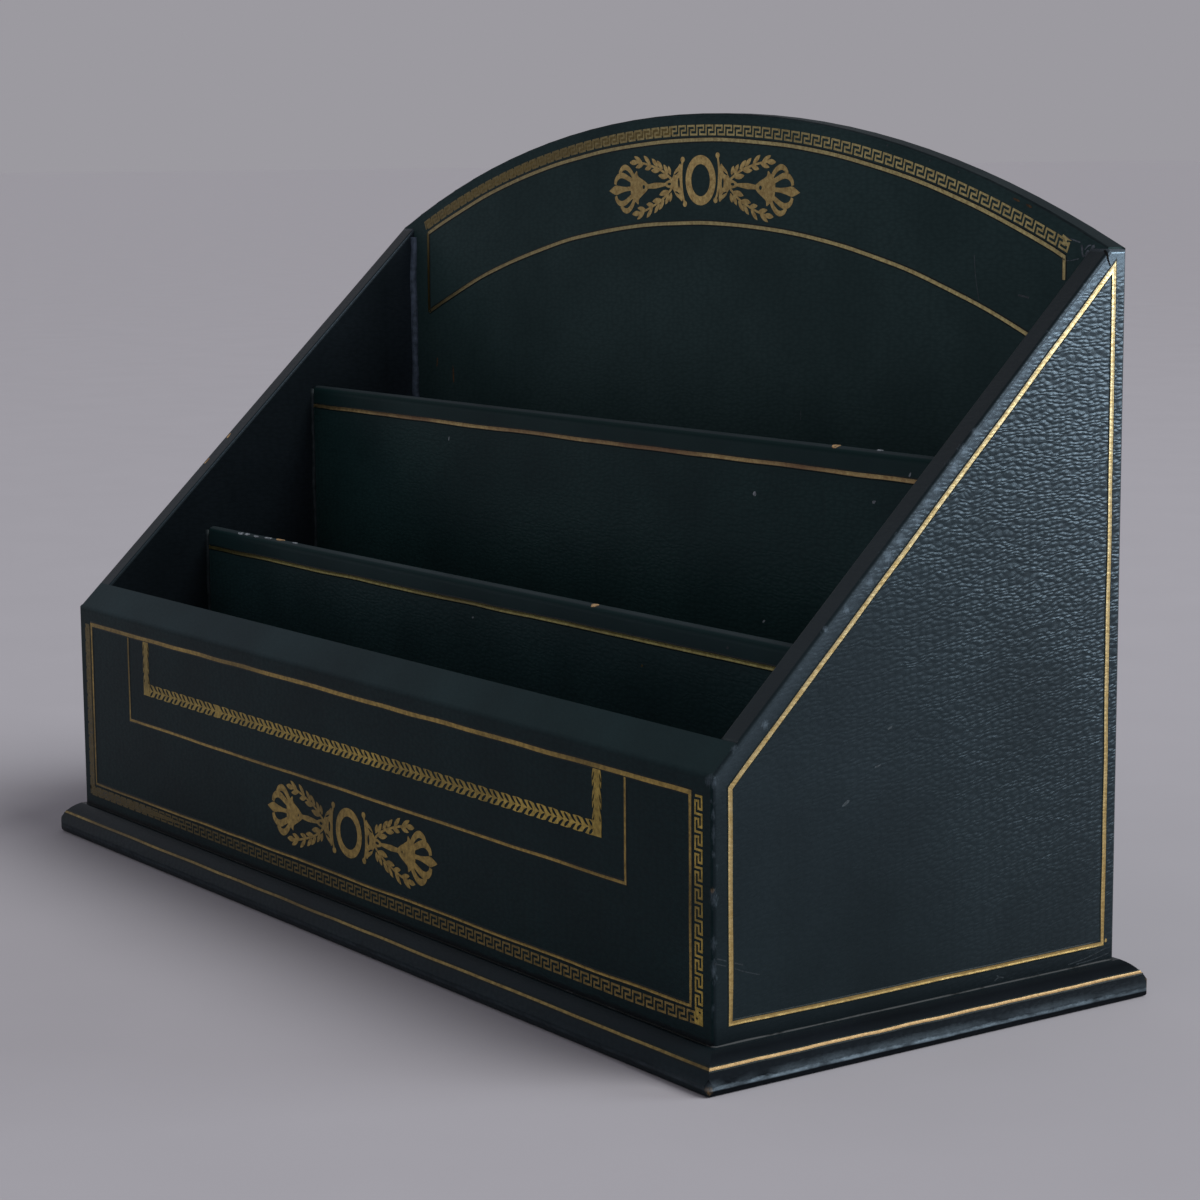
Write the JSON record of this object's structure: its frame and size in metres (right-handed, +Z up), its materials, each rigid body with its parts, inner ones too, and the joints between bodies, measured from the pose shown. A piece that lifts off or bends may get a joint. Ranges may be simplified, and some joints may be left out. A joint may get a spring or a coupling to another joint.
{
  "type": "letter holder",
  "caption": "Leather-covered desk letter rack with open compartments rising in steps to an arched back, sloping sides and a moulded plinth.",
  "frame": {"origin": "on the table under the middle of the rack's footprint, at the underside of its felt", "axes": "+X to the right along the front as the user sees it, +Y from the front board to the back board, +Z up"},
  "size_m": [0.3014, 0.1238, 0.197],
  "materials": {
    "case_wood": "planed",
    "cover_leather": "long-grain, waxed",
    "lining_leather": "smooth, matt",
    "base_felt": "felt",
    "brad_steel": "cut from sheet"
  },
  "bodies": {
    "root": {"base_board": "case_wood", "front_board": "case_wood", "back_board": "case_wood", "side_board_right": "case_wood", "side_board_left": "case_wood", "front_divider_board": "case_wood", "rear_divider_board": "case_wood", "plinth_moulding_front": "case_wood", "plinth_moulding_back": "case_wood", "plinth_moulding_left": "case_wood", "plinth_moulding_right": "case_wood", "front_cover": "cover_leather", "back_cover": "cover_leather", "side_cover_right": "cover_leather", "side_cover_left": "cover_leather", "plinth_cover": "cover_leather", "front_divider_cover": "cover_leather", "rear_divider_cover": "cover_leather", "front_lining": "lining_leather", "back_lining": "cover_leather", "side_lining_right": "lining_leather", "side_lining_left": "lining_leather", "floor_lining_front": "lining_leather", "floor_lining_middle": "lining_leather", "floor_lining_rear": "lining_leather", "base_felt": "base_felt", "case_brads": "brad_steel", "plinth_brads": "brad_steel"}
  },
  "joints": []
}
